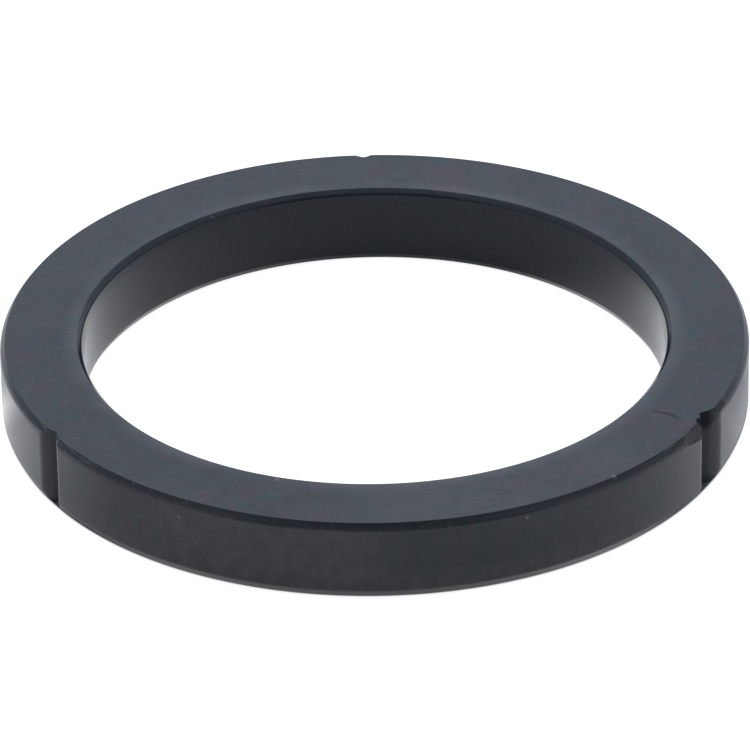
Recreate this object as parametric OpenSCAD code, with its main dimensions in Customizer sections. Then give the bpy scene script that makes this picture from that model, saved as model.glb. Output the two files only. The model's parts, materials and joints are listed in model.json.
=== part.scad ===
// Portafilter gasket: one moulded rubber ring that seals a coffee machine's group head.
// Its section is a rectangle with a small bevel at each corner, and blunt V-grooves run
// down its outer wall, where a tool is pushed in to pull a worn ring out of the group.
//
// The origin is on the axis of the bore, in the plane of the bottom face, and +Z goes
// up through the bore. One groove lies on +Y and the others follow at equal angles.

/* [Ring] */
// Diameter of the bore
bore_d = 57; // [50:0.5:60]
// Width of the ring's section, from the bore to the outer wall
ring_w = 8; // [6:0.25:10]
// Height of the ring
ring_h = 8; // [7:0.5:10]

/* [Bevels] */
// How far each bevel reaches in over the top or the bottom face
bevel_w = 0.5; // [0.3:0.05:0.55]
// Height of the bevel along the top edge of the outer wall
outer_top_bevel_h = 0.65; // [0.4:0.05:0.9]
// Height of the bevel along the bottom edge of the outer wall
outer_foot_bevel_h = 0.9; // [0.5:0.05:1.2]
// Height of the bevel along the top edge of the bore
bore_top_bevel_h = 0.5; // [0.3:0.05:0.8]
// Height of the bevel along the bottom edge of the bore
bore_foot_bevel_h = 0.6; // [0.3:0.05:0.9]

/* [Grooves] */
// How many grooves there are around the outer wall
groove_count = 3; // [3:1:6]
// Angle between a groove's two flanks and the outer wall
groove_flank = 36; // [30:1:42]
// Depth of a groove below the outer wall
groove_depth = 0.95; // [0.6:0.05:1.2]
// Rounding along the bottom of a groove
groove_bottom_r = 0.5; // [0.2:0.05:0.7]
// Rounding of the two lips of a groove
groove_lip_r = 0.5; // [0.15:0.05:0.7]

/* [Wear] */
// Which groove is damaged, counted from the one on +Y towards -X
worn_groove = 2; // [0:1:2]
// Depth of that groove, which is worn wider than the others
worn_groove_depth = 1.3; // [1:0.05:1.6]
// Radius of the chip in the top face, beside that groove
chip_r = 0.6; // [0.5:0.05:0.7]
// Distance along the wall from the middle of the groove to the middle of the chip
chip_shift = 1.15; // [1:0.05:1.4]
// Distance from the outer wall in to the middle of the chip
chip_inset = 0.45; // [0.4:0.05:0.55]
// How far down the outer wall the worn flat reaches, where it meets the groove
flat_drop = 1.5; // [1.2:0.1:1.8]
// Angle between the worn flat and the top face
flat_lean = 65; // [60:1:75]

/* [Hidden] */
bore_r = bore_d / 2;
outer_r = bore_r + ring_w;

// Directions along and square to the +X flank of a groove on +Y, out of it and into
// the rubber.
along = [cos(groove_flank), sin(groove_flank)];
into = [sin(groove_flank), -cos(groove_flank)];
// Radius at which the middle of a groove's lip stands
lip_at = outer_r - groove_lip_r;

// How far a cut goes past the faces that it opens through
past = 1;
$fn = 180;

// Middle of the round bottom of a groove on +Y of this depth.
function bottom(depth) = [0, outer_r - depth + groove_bottom_r];

// Middle of the +X lip of that groove: a circle that touches the flank and the outer
// wall. It stands where the line at the lip's radius from the flank meets lip_at.
function lip(start) =
    start + along * (sqrt((start * along) ^ 2 - start * start + lip_at ^ 2) - start * along);

// The same points on the -X side, in the opposite order.
function mirrored(points) = [for (i = [len(points) - 1:-1:0]) [-points[i].x, points[i].y]];

// The ring's section, to the right of its axis.
module ring_section() {
    polygon([
        [bore_r, bore_foot_bevel_h],
        [bore_r + bevel_w, 0],
        [outer_r - bevel_w, 0],
        [outer_r, outer_foot_bevel_h],
        [outer_r, ring_h - outer_top_bevel_h],
        [outer_r - bevel_w, ring_h],
        [bore_r + bevel_w, ring_h],
        [bore_r, ring_h - bore_top_bevel_h]
    ]);
}

// What a groove on +Y takes out of the ring, seen from above.
module groove_plan(depth) {
    bottom = bottom(depth);
    lip = lip(bottom + (groove_bottom_r + groove_lip_r) * into);
    side = [
        bottom + groove_bottom_r * into,
        lip - groove_lip_r * into,
        lip,
        lip * (outer_r + past) / lip_at
    ];
    translate(bottom) circle(groove_bottom_r);
    difference() {
        polygon(concat(side, mirrored(side)));
        for (x = [-lip.x, lip.x]) translate([x, lip.y]) circle(groove_lip_r);
    }
}

// One groove, on +Y, through the whole height.
module groove(depth) {
    translate([0, 0, -past]) linear_extrude(ring_h + 2 * past) groove_plan(depth);
}

// Turns what is drawn on +Y to the place of a groove.
module at_groove(index) {
    rotate([0, 0, index * 360 / groove_count]) children();
}

// The chip in the top face, at the +X lip of the groove on +Y.
module chip() {
    translate([chip_shift, outer_r - chip_inset, ring_h]) sphere(chip_r);
}

// The worn flat beside the groove on +Y. It is deepest at the groove, and the round wall
// falls away from it towards +X. The block that cuts it is long enough to run clear.
module worn_flat() {
    translate([0, outer_r, ring_h - flat_drop])
        rotate([-flat_lean, 0, 0])
            translate([0, -ring_w / 2, 0]) cube([outer_r, ring_w, ring_w]);
}

module gasket_ring() {
    color([0.16, 0.17, 0.19])
        difference() {
            rotate_extrude() ring_section();
            for (index = [0:groove_count - 1])
                at_groove(index) groove(index == worn_groove ? worn_groove_depth : groove_depth);
            at_groove(worn_groove) {
                chip();
                worn_flat();
            }
        }
}

gasket_ring();
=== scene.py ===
"""Looks of the portafilter gasket: a detailed mesh of the moulded ring around the CAD
frame, its black rubber, a white studio and the camera.

Sizes are in millimetres, and MM turns them into Blender's metres. Angles round the ring
count from +Y towards -X.
"""

import json
import math

import bpy
import numpy as np
from mathutils import Matrix, Vector, noise


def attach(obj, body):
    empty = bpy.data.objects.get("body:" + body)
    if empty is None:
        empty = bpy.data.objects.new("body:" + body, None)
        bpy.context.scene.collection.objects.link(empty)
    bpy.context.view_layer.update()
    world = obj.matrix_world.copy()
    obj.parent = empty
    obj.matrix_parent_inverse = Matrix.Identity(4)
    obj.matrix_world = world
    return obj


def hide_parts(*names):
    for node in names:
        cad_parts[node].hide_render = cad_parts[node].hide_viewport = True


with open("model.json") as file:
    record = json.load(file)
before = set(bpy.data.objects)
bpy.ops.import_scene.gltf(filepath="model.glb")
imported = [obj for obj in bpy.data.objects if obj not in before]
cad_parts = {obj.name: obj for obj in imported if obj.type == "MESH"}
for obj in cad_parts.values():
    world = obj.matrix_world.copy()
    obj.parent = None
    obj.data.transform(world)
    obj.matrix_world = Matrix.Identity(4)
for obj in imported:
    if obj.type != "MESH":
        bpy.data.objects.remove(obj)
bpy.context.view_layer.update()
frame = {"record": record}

MM = 0.001


def span(low, high):
    """Two limits in millimetres, turned into the metres that a shader reads."""
    return low * MM, high * MM


# ---- sizes of the ring -----------------------------------------------------------------
mounts = {m["name"]: m for m in frame["record"]["mounts"]}


def wall(name):
    """Radius of a wall of the ring, and the heights between which it stands upright."""
    mount = mounts[name]
    middle = mount["pos_m"][2] / MM
    half = mount["dims"]["length_mm"] / 2
    return mount["dims"]["r_mm"], middle - half, middle + half


BORE_R, BORE_LOW, BORE_HIGH = wall("bore")
OUTER_R, OUTER_LOW, OUTER_HIGH = wall("outer_wall")
RING_H = mounts["top_face"]["pos_m"][2] / MM
BEVEL_W = 0.5

# Radius to which the corners of the section are worn: where the bevels meet the faces,
# the outer wall and the bore.
FACE_CORNER_R = 0.08
OUTER_CORNER_R = 0.9
BORE_CORNER_R = 0.45

# Grooves: the first lies on +Y. The last is worn deeper than the others.
GROOVES = 3
GROOVE_STEP = 360 / GROOVES
GROOVE_FLANK = math.radians(36)
GROOVE_DEPTHS = [0.95, 0.95, 1.3]
GROOVE_BOTTOM_R = 0.5
# Difference in radius below which a groove and the outer wall round off at the lip.
LIP_SOFT = 0.35
# Angle from its middle, in radians, beyond which a groove takes nothing off, and a radius
# that stands for that.
GROOVE_REACH = 0.2
UNCUT_R = 99.0

# The worn place, beside the +X lip of this groove. Its places are given as for a groove
# on +Y: x along the wall, y across it. WORN_X and WORN_IN bound what it can touch.
WORN_GROOVE = 2
WORN_AT = WORN_GROOVE * GROOVE_STEP
WORN_X = (-0.2, 9)
WORN_IN = 3
CHIP_R = 0.6
CHIP_SHIFT = 1.15
CHIP_INSET = 0.45
FLAT_DROP = 1.5
FLAT_LEAN = math.radians(65)
# The rubber is torn from just before the flat, and ever less towards the end along x.
TEAR_BEFORE = 0.06
TEAR_RISE = 0.08
TEAR_END = 8
TEAR_FADE = 4
# Unevenness of the torn rubber: its depth, the cycles per millimetre of a coarse and a
# fine pattern, and the share of the fine one.
FRAY = 0.03
FRAY_COARSE = 2.2
FRAY_FINE = 5.5
FRAY_FINE_SHARE = 0.7

# How far the mesh is fine: in over the top face, and down the outer wall.
FINE_IN = 2.2
FINE_DOWN = 0.9
# Degrees between the rows of points round the ring, within the span of a groove, and on
# from there to the span of the worn place. Rows closer than the least gap are left out.
COARSE_STEP = 0.75
GROOVE_SPAN = 4.0
GROOVE_FINE = 0.08
WORN_SPAN = 12.0
WORN_FINE = 0.12
LEAST_GAP = 0.03


# ---- the ring's section ----------------------------------------------------------------
def line(p, q, n):
    """n points from p towards q, without q."""
    return [p + (q - p) * i / n for i in range(n)]


def corner(before, at, after, r, n):
    """n + 1 points on the round that wears the corner at a point of the section."""
    back = (before - at).normalized()
    on = (after - at).normalized()
    half = back.angle(on) / 2
    middle = at + (back + on).normalized() * (r / math.sin(half))
    start = at + back * (r / math.tan(half)) - middle
    sweep = math.copysign(math.pi - 2 * half, back.cross(on))
    return [middle + Matrix.Rotation(-sweep * i / n, 2) @ start for i in range(n + 1)]


def section_corners():
    """Corners of the section, from the bore over the top: the place of each, its wear,
    and how many points lie on its round and on the side after it."""
    top, bore, out = RING_H, BORE_R, OUTER_R
    return [
        ((bore + BEVEL_W, top), FACE_CORNER_R, 6, 8),
        ((out - FINE_IN, top), 0, 0, 15),
        ((out - BEVEL_W, top), FACE_CORNER_R, 8, 6),
        ((out, OUTER_HIGH), OUTER_CORNER_R, 8, 8),
        ((out, OUTER_HIGH - FINE_DOWN), 0, 0, 6),
        ((out, OUTER_LOW), OUTER_CORNER_R, 5, 5),
        ((out - BEVEL_W, 0), FACE_CORNER_R, 4, 5),
        ((bore + BEVEL_W, 0), FACE_CORNER_R, 4, 3),
        ((bore, BORE_LOW), BORE_CORNER_R, 3, 6),
        ((bore, BORE_HIGH), BORE_CORNER_R, 3, 3),
    ]


def plain_section():
    """Points (radius, height) of the section where no groove cuts it."""
    corners = section_corners()
    rounds = []
    for i, (at, r, n, _) in enumerate(corners):
        before = Vector(corners[i - 1][0])
        after = Vector(corners[(i + 1) % len(corners)][0])
        rounds.append(corner(before, Vector(at), after, r, n) if n else [Vector(at)])
    found = []
    for i, points in enumerate(rounds):
        after = rounds[(i + 1) % len(rounds)][0]
        found += points + line(points[-1], after, corners[i][3])[1:]
    return found


SECTION = plain_section()


def soft_min(p, q, k):
    """The lesser of p and q, rounded off where they cross."""
    h = max(k - abs(p - q), 0) / k
    return min(p, q) - h * h * k / 4


def section(cut):
    """The section where a groove cuts it off at a radius. On the flat faces the points
    move in evenly, so that the mesh stays even there."""
    fixed = OUTER_R - FINE_IN
    edge = OUTER_R - BEVEL_W
    found = []
    for r, z in SECTION:
        if r > fixed and z in (0, RING_H):
            r = fixed + (r - fixed) * (min(edge, cut) - fixed) / (edge - fixed)
        elif r > fixed:
            r = soft_min(r, cut, LIP_SOFT)
        found.append((r, z))
    return found


# ---- the grooves and the worn place ----------------------------------------------------
def groove_wall(a, groove):
    """Radius of a groove's cut at angle a (radians) from its middle."""
    if abs(a) > GROOVE_REACH:
        return UNCUT_R
    y = OUTER_R - GROOVE_DEPTHS[groove] + GROOVE_BOTTOM_R
    tip = y - GROOVE_BOTTOM_R / math.cos(GROOVE_FLANK)
    r = tip / (math.cos(a) - abs(math.sin(a)) * math.tan(GROOVE_FLANK))
    if abs(r * math.sin(a)) > GROOVE_BOTTOM_R * math.sin(GROOVE_FLANK):
        return r
    return y * math.cos(a) - math.sqrt(GROOVE_BOTTOM_R**2 - (y * math.sin(a)) ** 2)


def groove_cut(deg):
    """Radius of the nearest groove's cut at an angle round the ring."""
    off = (deg + GROOVE_STEP / 2) % GROOVE_STEP - GROOVE_STEP / 2
    return groove_wall(math.radians(off), int(round(deg / GROOVE_STEP)) % GROOVES)


def fray(x, y, z):
    """Unevenness of the torn rubber, from about -1 to 1."""
    coarse, fine = (
        noise.noise(Vector((x * scale, y * scale, z * scale)))
        for scale in (FRAY_COARSE, FRAY_FINE)
    )
    return coarse + FRAY_FINE_SHARE * fine


def part_of(value, whole):
    """A value as a part of a whole, kept between 0 and 1."""
    return max(0, min(1, value / whole))


def flattened(x, y, z):
    """A point's y and z with the worn flat taken off, and how torn the rubber is there."""
    out, up = math.sin(FLAT_LEAN), math.cos(FLAT_LEAN)
    beyond = out * (y - OUTER_R) + up * (z - RING_H + FLAT_DROP)
    torn = part_of(beyond + TEAR_BEFORE, TEAR_RISE) * part_of(TEAR_END - x, TEAR_FADE)
    if x >= 0:
        beyond = max(beyond, 0) + FRAY * torn * fray(x, y, z)
        y = y - out * beyond
        z = min(z - up * beyond, RING_H)
    return y, z, torn


def chipped(x, y, z, torn):
    """A point's z with the chip taken off, and how torn the rubber is there. In the chip the
    rubber is all torn, so that the pit is dark: torn rubber, and painted shade in the hollow.
    """
    off = (x - CHIP_SHIFT) ** 2 + (y - OUTER_R + CHIP_INSET) ** 2
    if off < CHIP_R**2:
        pit = RING_H - math.sqrt(CHIP_R**2 - off)
        if z > pit:
            # The pit's dark colour is torn rubber and painted shade.
            return pit, 1.0
    return z, torn


def worn(r, z, deg):
    """The place of a point of the section, with the chip and the worn flat taken off,
    and how torn the rubber is there, from 0 to 1."""
    turn = math.radians(WORN_AT)
    a = math.radians(deg) - turn
    x, y = -r * math.sin(a), r * math.cos(a)
    torn = 0.0
    if WORN_X[0] < x < WORN_X[1] and z > RING_H / 2 and y > OUTER_R - WORN_IN:
        y, z, torn = flattened(x, y, z)
        z, torn = chipped(x, y, z, torn)
    c, s = math.cos(turn), math.sin(turn)
    return Vector((x * c - y * s, x * s + y * c, z)), torn


# ---- the mesh --------------------------------------------------------------------------
def turned(middle, offsets):
    """Angles at these offsets from a middle, in degrees."""
    return [round(float((middle + d) % 360), 3) for d in offsets]


def angles():
    """Angles of the rows of points round the ring, closer together at the grooves."""
    found = set(np.round(np.arange(COARSE_STEP / 2, 360, COARSE_STEP), 3))
    fine = np.arange(-GROOVE_SPAN, GROOVE_SPAN + GROOVE_FINE / 2, GROOVE_FINE)
    for groove in range(GROOVES):
        found.update(turned(groove * GROOVE_STEP, fine))
    found.update(turned(WORN_AT, np.arange(-WORN_SPAN, -GROOVE_SPAN, WORN_FINE)))
    kept = []
    for a in sorted(found):
        if not kept or a - kept[-1] > LEAST_GAP:
            kept.append(a)
    return kept


def ring_faces(rows, n):
    """Faces between each row of n points and the next, as numbers of points."""
    faces = []
    for i in range(rows):
        here = i * n
        following = (i + 1) % rows * n
        for j in range(n):
            after = (j + 1) % n
            faces.append((here + j, following + j, following + after, here + after))
    return faces


def make_ring():
    """The ring, with how torn its points are as an attribute for the material."""
    rows = []
    for deg in angles():
        cut = groove_cut(deg)
        rows.append([worn(r, z, deg) for r, z in section(cut)])
    points = [point for row in rows for point in row]
    mesh = bpy.data.meshes.new("gasket")
    mesh.from_pydata([place * MM for place, _ in points], [], ring_faces(len(rows), len(rows[0])))
    torn = mesh.attributes.new("torn", "FLOAT", "POINT")
    torn.data.foreach_set("value", [tear for _, tear in points])
    mesh.shade_smooth()
    ring = bpy.data.objects.new("gasket", mesh)
    bpy.context.scene.collection.objects.link(ring)
    return ring


# ---- shader nodes ----------------------------------------------------------------------
class Graph:
    """The nodes of a material or of the world, and short ways to add more."""

    def __init__(self, owner):
        owner.use_nodes = True
        self.nodes = owner.node_tree.nodes
        self.links = owner.node_tree.links

    def add(self, kind):
        """A new node of a kind."""
        return self.nodes.new("ShaderNode" + kind)

    def put(self, slot, value):
        """Give an input a number, a colour or another node's output."""
        if isinstance(value, (int, float, tuple)):
            slot.default_value = value
        else:
            self.links.new(value, slot)

    def calc(self, kind, *values):
        """One operation of arithmetic, on one to three values."""
        node = self.add("Math")
        node.operation = kind
        for slot, value in zip(node.inputs, values):
            self.put(slot, value)
        return node.outputs[0]

    def fold(self, kind, value, others):
        """The same operation over several values, from the first to the last."""
        for other in others:
            value = self.calc(kind, value, other)
        return value

    def times(self, value, *others):
        """The product of values."""
        return self.fold("MULTIPLY", value, others)

    def plus(self, value, *others):
        """The sum of values."""
        return self.fold("ADD", value, others)

    def most(self, value, *others):
        """The greatest of values."""
        return self.fold("MAXIMUM", value, others)

    def step(self, value, limits, low, high):
        """A smooth step of a value between two limits, from low to high."""
        node = self.add("MapRange")
        node.interpolation_type = "SMOOTHSTEP"
        names = ("From Min", "From Max", "To Min", "To Max")
        for name, number in zip(names, (*limits, low, high)):
            node.inputs[name].default_value = number
        self.links.new(value, node.inputs["Value"])
        return node.outputs["Result"]

    def rise(self, value, limits, high=1.0):
        """0 up to the first limit, and high from the second on."""
        return self.step(value, limits, 0.0, high)

    def fall(self, value, limits, low=1.0):
        """low up to the first limit, and 0 from the second on."""
        return self.step(value, limits, low, 0.0)

    def split(self, place):
        """The x, y and z of a place."""
        node = self.add("SeparateXYZ")
        self.links.new(place, node.inputs[0])
        return tuple(node.outputs)

    def blend(self, share, a, b):
        """Two numbers, with this share of the second."""
        node = self.add("Mix")
        for name, value in (("Factor", share), ("A", a), ("B", b)):
            self.links.new(value, node.inputs[name])
        return node.outputs["Result"]

    def mix(self, share, a, b):
        """Two colours, with this share of the second."""
        node = self.add("Mix")
        node.data_type = "RGBA"
        self.links.new(share, node.inputs["Factor"])
        first, second = [slot for slot in node.inputs if slot.type == "RGBA"]
        self.put(first, a)
        self.put(second, b)
        return [slot for slot in node.outputs if slot.type == "RGBA"][0]


# ---- the rubber ------------------------------------------------------------------------
# Patterns: cycles per metre, detail and roughness.
CLOUD = (110, 3, 0.55)
STREAK = (700, 3, 0.6)
BLOTCH = (1300, 2, 0.6)
GRAIN = (2600, 3, 0.7)
CRUMB = (4200, 1, 0.5)
DASH = (3500, 1, 0.5)
PURPLE_PATCH = (300, 3, 0.6)
TEAL_PATCH = (370, 3, 0.6)
FILM_AND_HIGHLIGHT_PATCH = (75, 2, 0.6)
HAZE_AND_LIGHT_PATCH = (700, 4, 0.7)
# Metres of pattern in one radian round the ring, for streaks and dashes: the fewer, the
# longer they are.
STREAK_LENGTH = 0.004

# Colours of the rubber, of the torn places, of painted shade in the grooves and at the bore's
# edge, and of what lies on it, partly painted light.
BASE_DARK = (0.010, 0.012, 0.015, 1)
BASE_LIGHT = (0.019, 0.021, 0.026, 1)
BASE_PURPLE = (0.030, 0.016, 0.032, 1)
BASE_TEAL = (0.009, 0.022, 0.030, 1)
# Painted shade at the bore's edge.
BORE_EDGE_SHADE = (0.008, 0.012, 0.021, 1)
# Torn rubber; also painted shade in the grooves and under the ring.
BASE_TORN_AND_SHADE = (0.004, 0.005, 0.007, 1)
# Haze, and also painted light: a painted reflection of the floor low on the front wall, and
# painted light on the bevel's lower half.
HAZE_AND_PAINTED_LIGHT = (0.062, 0.055, 0.056, 1)
DUST = (0.30, 0.31, 0.33, 1)
# Also a painted highlight along the bore's edge.
FILM_AND_HIGHLIGHT = (0.20, 0.21, 0.22, 1)
# How much of a colour shows where its mark is strongest.
DUST_SHARE = 0.6
FILM_AND_HIGHLIGHT_SHARE = 0.17
SMUDGE_SHARE = 0.9
RUBBED_SHARE = 0.8

# How a pattern or a place turns into a mark: the limits of its step and the two levels.
LIGHT_FADE = (0.35, 0.65), 0.0, 1.0
PATCH_FADE = (0.45, 0.62), 0.0, 1.0
BLOTCH_FADE = (0.5, 0.75), 0.0, 0.3
RUBBED_FADE = (0.4, 0.6), 0.0, 0.3
FILM_AND_HIGHLIGHT_FADE = (0.35, 0.65), 0.4, 1.3
HAZE_AND_LIGHT_FADE = (0.38, 0.62), 0.45, 1.0
SPREAD_FADE = (0.42, 0.62), 0.3, 0.8
DUST_FADE = (0.4, 0.6), 0.1, 0.7
LIGHT_MARK_FADE = (0.4, 0.6), 0.2, 0.8
DASH_FADE = (0.56, 0.66), 0.0, 0.25
CRUMB_FADE = (0.52, 0.62), 0.0, 0.2
ROUGH_FADE = (0.35, 0.65), 0.15, 0.19
ROUGH_STREAK_FADE = (0.4, 0.7), -0.01, 0.02
# Going up the bevel, painted light on its lower half gives way to painted shade, dark rubber, on
# its upper half. The bore's edge is darkened too, with painted shade.
EDGE_PAINTED_LIGHT_FADE = span(7.3, 7.8), 0.4, 0.0
EDGE_PAINTED_SHADE_FADE = span(7.3, 7.8), 0.0, 0.7
BORE_EDGE_SHADE_FADE = span(BORE_R + 0.1, BORE_R + 0.3), 0.8, 0.0

# Limits between which a place on the ring or a mark begins or ends.
TOP_Z = span(RING_H - 0.08, RING_H - 0.01)
BELOW_TOP_Z = span(RING_H - 0.06, RING_H - 0.01)
EDGE_R = span(OUTER_R - BEVEL_W - 0.1, OUTER_R - BEVEL_W + 0.05)
EDGE_Z = span(OUTER_HIGH - 0.1, OUTER_HIGH + 0.1)
WALL_R = span(OUTER_R - 0.15, OUTER_R - 0.05)
# Scuffs lie by the two front grooves: left or right of these, and in front.
SCUFF_LEFT_X = span(-24, -20)
SCUFF_RIGHT_X = span(23, 27)
SCUFF_Y = span(-17, -14)
# Below the top face, what lies between these radii is rougher and darkened with painted shade:
# the bottoms of the grooves, and the face that the ring lies on.
DEEP_IN_R = span(BORE_R + 2, BORE_R + 2.1)
DEEP_OUT_R = span(OUTER_R - 0.9, OUTER_R - 0.3)
DEEP_Z = span(RING_H - 0.1, RING_H - 0.02)
FILM_AND_HIGHLIGHT_R = span(BORE_R + 0.4, BORE_R + 2.4)
HAZE_FROM_X = span(-26, -19)
HAZE_TO_X = span(-3, 3)
HAZE_AND_LIGHT_Y = span(-22, -12)
# Low on the front wall the haze is also a painted reflection of the floor.
HAZE_AND_REFLECTION_LOW_Z = span(1.2, 3.6)

# Single places: angle, radius, height and size.
RUBBED_EDGE = (243.0, 36.2, 7.6, 2.4)
RUBBED_LIP = (241.0, 35.6, 7.8, 2.4)
HAZE_TOP = (200, 32.5, RING_H, 20)
HAZE_TOP_SHARE = 0.4
LIGHT_MARKS = [
    (148.2, OUTER_R, 6.2, 0.25),
    (201.2, OUTER_R, 6.9, 0.25),
    (160.2, 29.5, RING_H, 0.25),
    (216.9, 36.0, RING_H, 0.3),
]
# The smudge: its angle, its middle radius, how it bends (per metre) and is set off, half
# its width, and where it begins and ends.
SMUDGE_AT = 237.0
SMUDGE_R = 32.6 * MM
SMUDGE_BEND = 110.0
SMUDGE_OFF = 0.2 * MM
SMUDGE_WIDTH = span(0.12, 0.36)
SMUDGE_IN = span(30.8, 31.3)
SMUDGE_OUT = span(33.4, 34.8)
SMUDGE_Z = span(RING_H - 0.1, RING_H)

# Dust: cells per metre, the share of cells with a grain, and a grain's size in cells.
FINE_DUST = (3200, 0.25, 0.36)
BIG_DUST = (900, 0.03, 0.12)
BIG_DUST_SHARE = 0.7
# Over how much of the cells' random values a cell goes from empty to chosen.
CHOSEN_EDGE = 0.005

# Gloss of the rubber.
SPECULAR = 0.5
IOR = 1.5
# The roughness that a rubbed, dull or smudged place adds, and how far its blotches and
# crumbs stand out, next to the grain of the whole rubber. BUMP is in metres.
ROUGH_WORN = 0.4
GRAIN_HEIGHT = 0.3
BLOTCH_HEIGHT = 9.0
CRUMB_HEIGHT = 22.0
BUMP = 0.000004


class Rubber(Graph):
    """The material's nodes: places on the ring, patterns in it and the marks on it. A
    mark is 1 where it is strong and 0 where there is none."""

    def __init__(self, material):
        super().__init__(material)
        self.place = self.add("TexCoord").outputs["Object"]
        self.x, self.y, self.z = self.split(self.place)
        square = self.plus(self.times(self.x, self.x), self.times(self.y, self.y))
        self.radius = self.calc("SQRT", square)
        self.polar = self.polar_place()
        self.cloud = self.pattern(CLOUD)
        self.streak = self.pattern(STREAK, self.polar)
        self.blotch = self.pattern(BLOTCH)
        self.grain = self.pattern(GRAIN)
        self.crumb = self.pattern(CRUMB)
        self.dash = self.pattern(DASH, self.polar)
        tear = self.add("Attribute")
        tear.attribute_name = "torn"
        self.torn = tear.outputs["Fac"]
        self.top = self.rise(self.z, TOP_Z)
        self.edge = self.times(self.rise(self.radius, EDGE_R), self.rise(self.z, EDGE_Z))
        self.scuffed = self.find_scuffed()
        self.rubbed = self.find_rubbed()
        self.smudged = self.find_smudged()
        self.deep_shaded = self.find_deep_shaded()
        self.haze_and_painted_light = self.find_haze_and_painted_light()

    def polar_place(self):
        """Along the ring, across it and up, so that streaks follow the moulding."""
        polar = self.add("CombineXYZ")
        angle = self.calc("ARCTAN2", self.y, self.x)
        self.put(polar.inputs[0], self.times(angle, STREAK_LENGTH))
        self.put(polar.inputs[1], self.radius)
        self.put(polar.inputs[2], self.z)
        return polar.outputs[0]

    def pattern(self, kind, place=None):
        """Noise of a kind: cycles per metre, detail and roughness."""
        node = self.add("TexNoise")
        for name, value in zip(("Scale", "Detail", "Roughness"), kind):
            node.inputs[name].default_value = value
        self.links.new(place or self.place, node.inputs["Vector"])
        return node.outputs["Fac"]

    def near(self, deg, r, z, size):
        """1 close to a place on the ring, else 0."""
        a = math.radians(deg)
        apart = self.add("VectorMath")
        apart.operation = "DISTANCE"
        self.put(apart.inputs[0], self.place)
        self.put(apart.inputs[1], (-r * MM * math.sin(a), r * MM * math.cos(a), z * MM))
        return self.fall(apart.outputs["Value"], span(size / 2, size))

    def specks(self, scale, share, size):
        """Sparse grains: this share of the cells of a pattern holds one each."""
        cells = self.add("TexVoronoi")
        cells.inputs["Scale"].default_value = scale
        self.put(cells.inputs["Vector"], self.place)
        pick = self.add("SeparateColor")
        self.put(pick.inputs[0], cells.outputs["Color"])
        chosen = self.rise(pick.outputs[0], (1 - share, 1 - share + CHOSEN_EDGE))
        speck = self.fall(cells.outputs["Distance"], (size / 2, size))
        return self.times(chosen, speck, pick.outputs[1])

    def find_scuffed(self):
        """Scuffs on the edge, by the two front grooves."""
        left = self.fall(self.x, SCUFF_LEFT_X)
        right = self.rise(self.x, SCUFF_RIGHT_X)
        beside = self.times(self.most(left, right), self.fall(self.y, SCUFF_Y))
        return self.times(self.edge, beside)

    def find_rubbed(self):
        """The torn place and what is rubbed around it, and blotches in the scuffs."""
        blotches = self.times(self.scuffed, self.step(self.blotch, *RUBBED_FADE))
        edge = self.times(self.edge, self.near(*RUBBED_EDGE))
        lip = self.times(self.fall(self.z, BELOW_TOP_Z), self.near(*RUBBED_LIP))
        return self.most(blotches, self.torn, edge, lip)

    def find_smudged(self):
        """A short dark smudge across the top face, by the worn place."""
        a = math.radians(SMUDGE_AT)
        x, y = self.x, self.y
        along = self.calc("MULTIPLY_ADD", x, -math.sin(a), self.times(y, math.cos(a)))
        across = self.calc("MULTIPLY_ADD", x, math.cos(a), self.times(y, math.sin(a)))
        bend = self.calc("POWER", self.calc("SUBTRACT", along, SMUDGE_R), 2.0)
        bend = self.times(bend, SMUDGE_BEND)
        off = self.plus(across, self.calc("SUBTRACT", SMUDGE_OFF, bend))
        return self.times(
            self.fall(self.calc("ABSOLUTE", off), SMUDGE_WIDTH),
            self.rise(along, SMUDGE_IN),
            self.fall(along, SMUDGE_OUT),
            self.rise(self.z, SMUDGE_Z),
        )

    def find_deep_shaded(self):
        """The bottoms of the grooves, and the face that the ring lies on: rougher there, and
        darkened with painted shade.
        """
        return self.times(
            self.rise(self.radius, DEEP_IN_R),
            self.fall(self.radius, DEEP_OUT_R),
            self.fall(self.z, DEEP_Z),
        )

    def find_film_and_highlight(self):
        """A thin pale film on the top face, towards the bore, thicker in places, which also
        paints a highlight along the bore's edge.
        """
        where = self.times(self.fall(self.radius, FILM_AND_HIGHLIGHT_R), self.top)
        return self.times(where, self.step(self.pattern(FILM_AND_HIGHLIGHT_PATCH), *FILM_AND_HIGHLIGHT_FADE))

    def find_haze_and_painted_light(self):
        """Fine dust, and painted light: low on the front of the outer wall, where it also stands
        for a painted reflection of the floor, and left of its middle, on the front of the top
        face to the right, and on the lower part of the bevel, where it is painted light."""
        left = self.times(self.fall(self.x, HAZE_TO_X), self.rise(self.x, HAZE_FROM_X))
        low = self.fall(self.z, HAZE_AND_REFLECTION_LOW_Z)
        haze_and_painted_light = self.times(self.rise(self.radius, WALL_R), self.most(low, left))
        haze_and_painted_light = self.times(haze_and_painted_light, self.fall(self.y, HAZE_AND_LIGHT_Y))
        right = self.times(self.near(*HAZE_TOP), self.top)
        haze_and_painted_light = self.most(haze_and_painted_light, self.times(right, HAZE_TOP_SHARE))
        patches = self.step(self.pattern(HAZE_AND_LIGHT_PATCH), *HAZE_AND_LIGHT_FADE)
        # Painted light: the lower part of the bevel lighter.
        bevel_painted_light = self.times(self.edge, self.step(self.z, *EDGE_PAINTED_LIGHT_FADE))
        return self.most(self.times(haze_and_painted_light, patches), bevel_painted_light)

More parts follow.
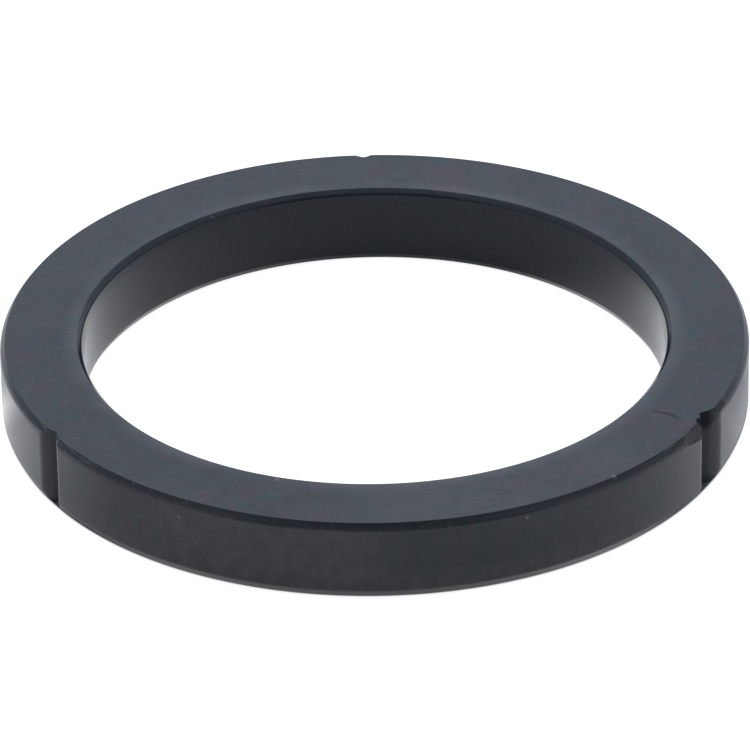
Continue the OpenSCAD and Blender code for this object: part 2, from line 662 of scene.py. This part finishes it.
    def find_dust(self):
        """Grains, most of them in the haze and painted light, and light dashes and crumbs."""
        spread = self.most(self.step(self.cloud, *SPREAD_FADE), self.haze_and_painted_light)
        fine = self.times(self.specks(*FINE_DUST), spread)
        fine = self.times(fine, self.step(self.grain, *DUST_FADE))
        big = self.times(self.specks(*BIG_DUST), BIG_DUST_SHARE)
        dashes = self.times(self.scuffed, self.step(self.dash, *DASH_FADE))
        crumbs = self.times(self.torn, self.step(self.crumb, *CRUMB_FADE))
        dust = self.most(fine, big, dashes, crumbs)
        uneven = self.step(self.grain, *LIGHT_MARK_FADE)
        for mark in LIGHT_MARKS:
            dust = self.most(dust, self.times(self.near(*mark), uneven))
        return dust

    def colour(self):
        """The base colour, and over it one colour after the other, each by its share."""
        # Painted shade in the grooves and under the ring, with the dark of rubbed and torn
        # rubber.
        worn_and_deep_shade = self.most(self.deep_shaded, self.times(self.rubbed, RUBBED_SHARE))
        layers = [
            (self.step(self.pattern(PURPLE_PATCH), *PATCH_FADE), BASE_PURPLE),
            (self.step(self.pattern(TEAL_PATCH), *PATCH_FADE), BASE_TEAL),
            (self.step(self.blotch, *BLOTCH_FADE), HAZE_AND_PAINTED_LIGHT),
            # Painted shade: the upper part of the bevel darker.
            (self.times(self.edge, self.step(self.z, *EDGE_PAINTED_SHADE_FADE)), BASE_DARK),
            # Painted shade: the bore's edge darker.
            (self.step(self.radius, *BORE_EDGE_SHADE_FADE), BORE_EDGE_SHADE),
            # Haze and dust, with a painted reflection low on the front wall and painted light on
            # the bevel's lower half.
            (self.haze_and_painted_light, HAZE_AND_PAINTED_LIGHT),
            # Film, and a painted highlight along the bore's edge.
            (self.times(self.find_film_and_highlight(), FILM_AND_HIGHLIGHT_SHARE), FILM_AND_HIGHLIGHT),
            (self.times(self.smudged, SMUDGE_SHARE), BASE_TORN_AND_SHADE),
            (worn_and_deep_shade, BASE_TORN_AND_SHADE),
            (self.times(self.find_dust(), DUST_SHARE), DUST),
        ]
        tone = self.mix(self.step(self.cloud, *LIGHT_FADE), BASE_DARK, BASE_LIGHT)
        for share, colour in layers:
            tone = self.mix(share, tone, colour)
        return tone

    def roughness(self):
        """A slightly uneven gloss, rougher where the rubber is rubbed, dull or smudged."""
        streaks = self.step(self.streak, *ROUGH_STREAK_FADE)
        rough = self.plus(self.step(self.cloud, *ROUGH_FADE), streaks)
        for mark in (self.rubbed, self.deep_shaded, self.smudged):
            rough = self.plus(rough, self.times(mark, ROUGH_WORN))
        return rough

    def bump(self):
        """The normal that grain, streaks and the rubbed places give the rubber."""
        height = self.plus(self.times(self.grain, GRAIN_HEIGHT), self.streak)
        height = self.plus(height, self.times(self.blotch, self.rubbed, BLOTCH_HEIGHT))
        height = self.plus(height, self.times(self.crumb, self.rubbed, CRUMB_HEIGHT))
        node = self.add("Bump")
        self.put(node.inputs["Strength"], 1.0)
        self.put(node.inputs["Distance"], BUMP)
        self.put(node.inputs["Height"], height)
        return node.outputs[0]


def rubber():
    """The material of the ring."""
    material = bpy.data.materials.new("rubber")
    graph = Rubber(material)
    surface = graph.nodes["Principled BSDF"].inputs
    surface["Specular IOR Level"].default_value = SPECULAR
    surface["IOR"].default_value = IOR
    graph.put(surface["Base Color"], graph.colour())
    graph.put(surface["Roughness"], graph.roughness())
    graph.put(surface["Normal"], graph.bump())
    return material


# ---- studio ----------------------------------------------------------------------------
# The light stands above and behind the ring; the room round it is darker, and darkest in
# front. Directions are parts of 1: how far up or back a ray goes, or towards the lamp.
LAMP_SIDE = (0, 0.477, 0.879)
LAMP_RIM = (0.60, 0.81)
LAMP_UP = (0.5, 0.95)
LAMP_LOW, LAMP_HIGH = 0.88, 1.75
LAMP_TINT = (0.84, 0.93, 1.06, 1)
ROOM_UP = (0.0, 0.5)
ROOM_LOW, ROOM_HIGH = 0.65, 0.5
FRONT_Y = (-0.8, -0.5)
ROOM_FRONT = 0.35


def lamp_light(graph):
    """How bright the lamp and the room are in each direction."""
    ray = graph.add("TexCoord").outputs["Generated"]
    _, back, up = graph.split(ray)
    dot = graph.add("VectorMath")
    dot.operation = "DOT_PRODUCT"
    graph.put(dot.inputs[0], ray)
    graph.put(dot.inputs[1], LAMP_SIDE)
    room = graph.times(
        graph.step(up, ROOM_UP, ROOM_LOW, ROOM_HIGH),
        graph.step(back, FRONT_Y, ROOM_FRONT, 1.0),
    )
    lamp = graph.step(up, LAMP_UP, LAMP_LOW, LAMP_HIGH)
    return graph.blend(graph.rise(dot.outputs["Value"], LAMP_RIM), room, lamp)


def studio_world():
    """The studio round the ring. The camera sees a plain backdrop, not the lamp."""
    world = bpy.data.worlds.new("studio")
    bpy.context.scene.world = world
    graph = Graph(world)
    graph.nodes.clear()
    light = graph.add("Background")
    graph.put(light.inputs["Color"], LAMP_TINT)
    graph.put(light.inputs["Strength"], lamp_light(graph))
    seen = graph.add("Background")
    graph.put(seen.inputs["Strength"], 1.0)
    choice = graph.add("MixShader")
    path = graph.add("LightPath")
    graph.put(choice.inputs["Fac"], path.outputs["Is Camera Ray"])
    graph.put(choice.inputs[1], light.outputs[0])
    graph.put(choice.inputs[2], seen.outputs[0])
    graph.put(graph.add("OutputWorld").inputs["Surface"], choice.outputs[0])


# ---- floor -----------------------------------------------------------------------------
# Half the floor's side, in metres.
FLOOR_HALF = 3.0
# How white the floor is, what the ring's shadow leaves of that, and how bright the floor
# looks to the camera.
FLOOR_WHITE = 0.5
FLOOR_SHADED = 0.25
GLOW_SEEN = 0.86
# How bright the floor is in what the ring mirrors: in front of it, beside it and behind
# it, with more or less at each side, and inside it.
GLOW_FRONT = 0.33
GLOW_BESIDE = 0.62
GLOW_BEHIND = 0.38
GLOW_RIGHT = 0.12
GLOW_LEFT = 0.65
GLOW_DIM = 0.14
GLOW_MIDDLE = 0.17
GLOW_RIGHT_IN = 0.72
GLOW_LEFT_IN = 0.72
# Where the ring touches it, that is multiplied: by this in front, and by this behind.
GLOW_CONTACT = 2.2
GLOW_CONTACT_BACK = 0.25

# Where each of these parts of the floor begins and ends.
RIGHT_X = span(12, 30)
RIGHT_Y = span(-18, -10)
LEFT_X = span(-30, -20)
LEFT_FROM_Y = span(-5, 1)
LEFT_TO_Y = span(0, 6)
BESIDE_Y = span(-32, -10)
BEHIND_Y = span(-7, 2)
DIM_X = span(12, 30)
DIM_Y = span(-9, -4)
CONTACT_Y = span(-33, -22)
CONTACT_R = span(36.1, 36.8)
# To the right the contact lies this much farther out.
CONTACT_SHIFT_X = span(0, 20)
CONTACT_SHIFT = 0.4 * MM
RIGHT_IN_X = span(12, 27)
LEFT_IN_X = span(-36, 2)
INSIDE_R = span(30, 34)
# The ring's shadow lies between these radii.
SHADOW_OUT_R = span(35.9, 36.2)
SHADOW_IN_R = span(28.8, 29)


class Floor(Graph):
    """The floor's nodes. The ring mirrors a floor that is brighter in some parts."""

    def __init__(self, material):
        super().__init__(material)
        self.nodes.clear()
        place = self.add("TexCoord").outputs["Object"]
        self.x, self.y, _ = self.split(place)
        length = self.add("VectorMath")
        length.operation = "LENGTH"
        self.put(length.inputs[0], place)
        self.away = length.outputs["Value"]

    def contact(self):
        """By how much the glow changes close to the ring: 1 farther off."""
        touching = self.step(self.y, CONTACT_Y, GLOW_CONTACT, GLOW_CONTACT_BACK)
        shift = self.rise(self.x, CONTACT_SHIFT_X, CONTACT_SHIFT)
        clear = self.rise(self.calc("SUBTRACT", self.away, shift), CONTACT_R)
        return self.calc("MULTIPLY_ADD", self.calc("SUBTRACT", 1.0, clear), touching, clear)

    def outside(self):
        """How bright the ring mirrors the floor around it."""
        right = self.times(self.rise(self.x, RIGHT_X, GLOW_RIGHT), self.fall(self.y, RIGHT_Y))
        left = self.times(
            self.fall(self.x, LEFT_X, GLOW_LEFT),
            self.rise(self.y, LEFT_FROM_Y),
            self.fall(self.y, LEFT_TO_Y),
        )
        beside = self.rise(self.y, BESIDE_Y, GLOW_BESIDE - GLOW_FRONT)
        behind = self.rise(self.y, BEHIND_Y, GLOW_BEHIND - GLOW_BESIDE)
        dim = self.times(self.rise(self.x, DIM_X, GLOW_DIM), self.rise(self.y, DIM_Y))
        glow = self.plus(beside, behind, GLOW_FRONT, self.plus(left, right))
        return self.times(self.calc("SUBTRACT", glow, dim), self.contact())

    def inside(self):
        """How bright the ring mirrors the floor inside it."""
        right = self.rise(self.x, RIGHT_IN_X, GLOW_RIGHT_IN)
        left = self.fall(self.x, LEFT_IN_X, GLOW_LEFT_IN)
        return self.plus(right, left, GLOW_MIDDLE)

    def lit(self):
        """1 where the floor is lit, and 0 in the ring's shadow."""
        return self.most(self.rise(self.away, SHADOW_OUT_R), self.fall(self.away, SHADOW_IN_R))

    def glow(self, lit):
        """The light that the floor sends to the camera, to what mirrors it and through
        what is clear."""
        path = self.add("LightPath").outputs
        mirrored = self.blend(self.rise(self.away, INSIDE_R), self.inside(), self.outside())
        seen = self.times(path["Is Camera Ray"], lit, GLOW_SEEN)
        seen = self.calc("MULTIPLY_ADD", path["Is Glossy Ray"], mirrored, seen)
        return self.calc("MULTIPLY_ADD", path["Is Transmission Ray"], GLOW_SEEN, seen)


def floor_material():
    """The floor's look: a white ground that also glows."""
    material = bpy.data.materials.new("floor")
    graph = Floor(material)
    lit = graph.lit()
    diffuse = graph.add("BsdfDiffuse")
    shaded = graph.calc("MULTIPLY_ADD", lit, 1 - FLOOR_SHADED, FLOOR_SHADED)
    graph.put(diffuse.inputs["Color"], graph.times(shaded, FLOOR_WHITE))
    glow = graph.add("Emission")
    graph.put(glow.inputs["Strength"], graph.glow(lit))
    both = graph.add("AddShader")
    graph.put(both.inputs[0], diffuse.outputs[0])
    graph.put(both.inputs[1], glow.outputs[0])
    graph.put(graph.add("OutputMaterial").inputs["Surface"], both.outputs[0])
    return material


def floor():
    """The ground that the ring lies on. It belongs to the stage, not to the part."""
    size = FLOOR_HALF
    mesh = bpy.data.meshes.new("floor")
    corners = [(-size, -size, 0), (size, -size, 0), (size, size, 0), (-size, size, 0)]
    mesh.from_pydata(corners, [], [(0, 1, 2, 3)])
    obj = bpy.data.objects.new("floor", mesh)
    bpy.context.scene.collection.objects.link(obj)
    mesh.materials.append(floor_material())


# ---- camera ----------------------------------------------------------------------------
# The offset is how far the origin lies from the camera: right, down and ahead.
CAM_ELEVATION = math.radians(30.182)
CAM_ROLL = math.radians(-0.907)
CAM_TURN = math.radians(1.3)
CAM_OFFSET = (0.043, 2.536, 660.475)
CAM_LENS = 323.316
CAM_SENSOR = 36
CAM_CLIP = (0.01, 20)


def camera_axes():
    """The camera's directions, as rows: right, down and ahead."""
    ce, se = math.cos(CAM_ELEVATION), math.sin(CAM_ELEVATION)
    cr, sr = math.cos(CAM_ROLL), math.sin(CAM_ROLL)
    tilt = Matrix(((1, 0, 0), (0, -se, -ce), (0, ce, -se)))
    roll = Matrix(((cr, -sr, 0), (sr, cr, 0), (0, 0, 1)))
    return roll @ tilt @ Matrix.Rotation(CAM_TURN, 3, "Z")


def camera():
    """The camera, where the photo was taken from."""
    rot = camera_axes()
    place = -(rot.transposed() @ Vector(CAM_OFFSET)) * MM
    right, down, ahead = rot
    axes = Matrix((right, -down, -ahead)).transposed()
    data = bpy.data.cameras.new("camera")
    data.lens = CAM_LENS
    data.sensor_width = CAM_SENSOR
    data.clip_start, data.clip_end = CAM_CLIP
    cam = bpy.data.objects.new("camera", data)
    cam.matrix_world = Matrix.Translation(place) @ axes.to_4x4()
    bpy.context.scene.collection.objects.link(cam)
    bpy.context.scene.camera = cam


bpy.context.scene.view_settings.view_transform = "Standard"
camera()
studio_world()
floor()
ring = make_ring()
ring.data.materials.append(rubber())
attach(ring, "root")
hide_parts("gasket_ring")
